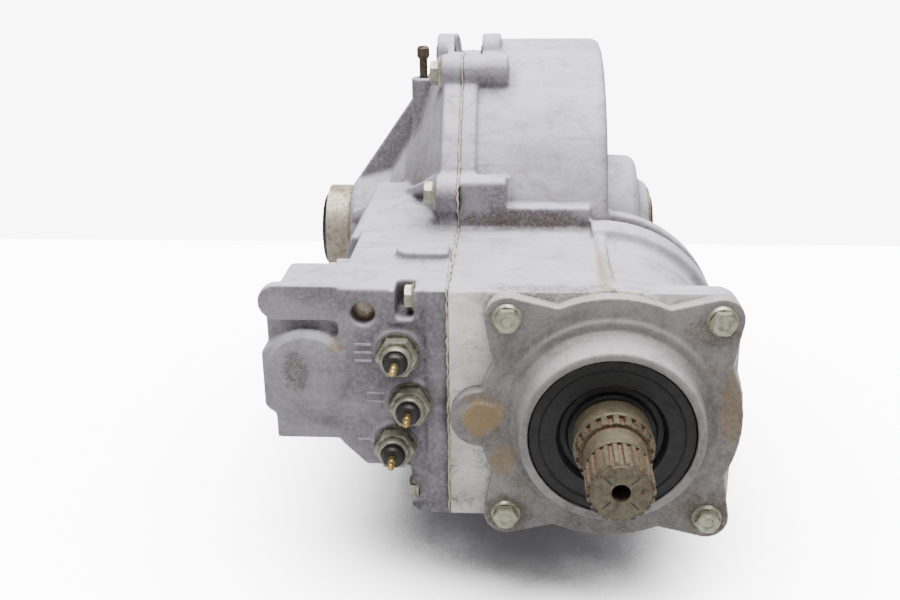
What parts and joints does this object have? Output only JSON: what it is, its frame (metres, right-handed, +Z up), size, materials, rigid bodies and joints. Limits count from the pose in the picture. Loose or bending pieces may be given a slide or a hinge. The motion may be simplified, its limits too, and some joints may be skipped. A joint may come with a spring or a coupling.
{
  "type": "front differential",
  "caption": "Offset bevel front axle differential with splined input shaft, dog clutch shift box, three position switches, side seals and hanger ears.",
  "frame": {"origin": "centre of the input shaft's front end", "axes": "+X to the right seen from the front, +Y to the rear along the input shaft, +Z up; axle line parallel to X"},
  "size_m": [0.291, 0.5231, 0.3105],
  "materials": {
    "cast_aluminium": "sand cast, weathered",
    "cover_casting": "sand cast, darkened",
    "sealant": "cured sealant",
    "black_rubber": "moulded",
    "shaft_steel": "machined, light rust",
    "yellow_zinc": "yellow zinc plate",
    "plain_steel": "turned",
    "rusted_steel": "rusted",
    "switch_steel": "zinc plate",
    "soft_aluminium": "stamped washer",
    "black_plastic": "moulded",
    "brass": "drawn",
    "gear_steel": "ground, oiled",
    "bearing_steel": "ground",
    "cast_iron": "machined casting, oiled",
    "bronze": "sintered"
  },
  "bodies": {
    "housing": {"right_case": "cast_aluminium", "left_cover": "cast_aluminium", "case_sealant": "sealant", "front_cover": "cover_casting", "front_cover_bolts": "yellow_zinc", "input_seal": "black_rubber", "case_bolts_m10": "yellow_zinc", "case_bolts_m8": "yellow_zinc", "left_hub_sleeve": "plain_steel", "left_output_seal": "black_rubber", "right_output_seal": "black_rubber", "right_seal_ring": "plain_steel", "breather_tube": "rusted_steel", "oil_plugs": "plain_steel", "hanger_bushes": "rusted_steel", "dowels": "plain_steel", "switch_washers": "soft_aluminium", "switch_bodies": "switch_steel", "switch_insulators": "black_plastic", "switch_terminals": "brass", "detent_spring": "plain_steel", "detent_plug": "yellow_zinc", "front_bearing_outer": "bearing_steel", "pinion_outer_races": "bearing_steel", "carrier_outer_races": "bearing_steel", "carrier_shims": "plain_steel"},
    "input": {"input_shaft": "shaft_steel", "front_bearing_inner": "bearing_steel", "front_bearing_circlip": "plain_steel"},
    "front_roller_set": {"front_bearing_rollers": "bearing_steel"},
    "pinion": {"pinion_shaft": "gear_steel", "clutch_gear": "gear_steel", "pinion_nut": "plain_steel", "pinion_inner_races": "bearing_steel", "pinion_spacer": "plain_steel", "pilot_bush": "bronze"},
    "pinion_roller_set": {"pinion_rollers": "bearing_steel"},
    "carrier": {"carrier_case": "cast_iron", "carrier_cap": "cast_iron", "carrier_cap_bolts": "plain_steel", "ring_gear": "gear_steel", "ring_gear_bolts": "plain_steel", "cross_pin": "gear_steel", "cross_pin_lock": "plain_steel", "carrier_inner_races": "bearing_steel", "thrust_washers": "bronze"},
    "carrier_roller_set": {"carrier_rollers": "bearing_steel"},
    "side_left": {"side_gear_left": "gear_steel"},
    "side_right": {"side_gear_right": "gear_steel"},
    "spider_top": {"spider_gear_top": "gear_steel"},
    "spider_bottom": {"spider_gear_bottom": "gear_steel"},
    "sleeve": {"dog_sleeve": "gear_steel"},
    "fork": {"shift_fork": "cast_iron", "shift_rail": "plain_steel", "cam_follower": "gear_steel"},
    "selector": {"selector_drum": "gear_steel"},
    "plunger_a": {"switch_plunger_a": "brass"},
    "plunger_b": {"switch_plunger_b": "brass"},
    "plunger_c": {"switch_plunger_c": "brass"},
    "detent": {"detent_ball": "bearing_steel"}
  },
  "joints": [
    {"name": "carrier_spin", "type": "hinge", "parent": "housing", "child": "carrier", "pos_m": [-0.052, 0.355, 0.0315], "axis": [1, 0, 0], "continuous": true},
    {"name": "pinion_spin", "type": "hinge", "parent": "housing", "child": "pinion", "pos_m": [0, 0.203, 0], "axis": [0, 1, 0], "continuous": true},
    {"name": "input_spin", "type": "hinge", "parent": "housing", "child": "input", "pos_m": [0, 0.076, 0], "axis": [0, 1, 0], "continuous": true},
    {"name": "front_roller_orbit", "type": "hinge", "parent": "housing", "child": "front_roller_set", "pos_m": [0, 0.076, 0], "axis": [0, 1, 0], "continuous": true},
    {"name": "pinion_roller_orbit", "type": "hinge", "parent": "housing", "child": "pinion_roller_set", "pos_m": [0, 0.203, 0], "axis": [0, 1, 0], "continuous": true},
    {"name": "carrier_roller_orbit", "type": "hinge", "parent": "housing", "child": "carrier_roller_set", "pos_m": [-0.052, 0.355, 0.0315], "axis": [1, 0, 0], "continuous": true},
    {"name": "side_left_spin", "type": "hinge", "parent": "carrier", "child": "side_left", "pos_m": [-0.052, 0.355, 0.0315], "axis": [1, 0, 0], "continuous": true},
    {"name": "side_right_spin", "type": "hinge", "parent": "carrier", "child": "side_right", "pos_m": [-0.052, 0.355, 0.0315], "axis": [1, 0, 0], "continuous": true},
    {"name": "spider_top_spin", "type": "hinge", "parent": "carrier", "child": "spider_top", "pos_m": [-0.052, 0.355, 0.0315], "axis": [0, 0, 1], "continuous": true},
    {"name": "spider_bottom_spin", "type": "hinge", "parent": "carrier", "child": "spider_bottom", "pos_m": [-0.052, 0.355, 0.0315], "axis": [0, 0, 1], "continuous": true},
    {"name": "selector_turn", "type": "hinge", "parent": "housing", "child": "selector", "pos_m": [-0.177, 0.1055, 0.022], "axis": [0, 1, 0], "range_deg": [-30.6, 25.5]},
    {"name": "fork_slide", "type": "slide", "parent": "housing", "child": "fork", "axis": [0, 1, 0], "range_m": [-0.00766, 0.00639]},
    {"name": "sleeve_slide", "type": "slide", "parent": "input", "child": "sleeve", "axis": [0, 1, 0], "range_m": [-0.00766, 0.00639]},
    {"name": "plunger_a_press", "type": "slide", "parent": "housing", "child": "plunger_a", "axis": [0, -1, 0], "range_m": [0, 0.0014], "stiffness_N_per_m": 600, "springref_m": -0.001},
    {"name": "plunger_b_press", "type": "slide", "parent": "housing", "child": "plunger_b", "axis": [0, -1, 0], "range_m": [0, 0.0014], "stiffness_N_per_m": 600, "springref_m": -0.001},
    {"name": "plunger_c_press", "type": "slide", "parent": "housing", "child": "plunger_c", "axis": [0, -1, 0], "range_m": [0, 0.0014], "stiffness_N_per_m": 600, "springref_m": -0.001},
    {"name": "detent_lift", "type": "slide", "parent": "housing", "child": "detent", "axis": [-1, 0, 0], "range_m": [0, 0.0008], "stiffness_N_per_m": 800, "springref_m": -0.002}
  ],
  "couplings": [
    {"joint": "pinion_spin", "follows": "carrier_spin", "ratio": -4.1},
    {"joint": "input_spin", "follows": "carrier_spin", "ratio": -4.1},
    {"joint": "front_roller_orbit", "follows": "carrier_spin", "ratio": -1.722},
    {"joint": "pinion_roller_orbit", "follows": "carrier_spin", "ratio": -1.722},
    {"joint": "carrier_roller_orbit", "follows": "carrier_spin", "ratio": 0.42},
    {"joint": "side_right_spin", "follows": "side_left_spin", "ratio": -1},
    {"joint": "spider_top_spin", "follows": "side_left_spin", "ratio": 1.6},
    {"joint": "spider_bottom_spin", "follows": "side_left_spin", "ratio": -1.6},
    {"joint": "fork_slide", "follows": "selector_turn", "m_per_rad": 0.014324},
    {"joint": "sleeve_slide", "follows": "selector_turn", "m_per_rad": 0.014324}
  ]
}
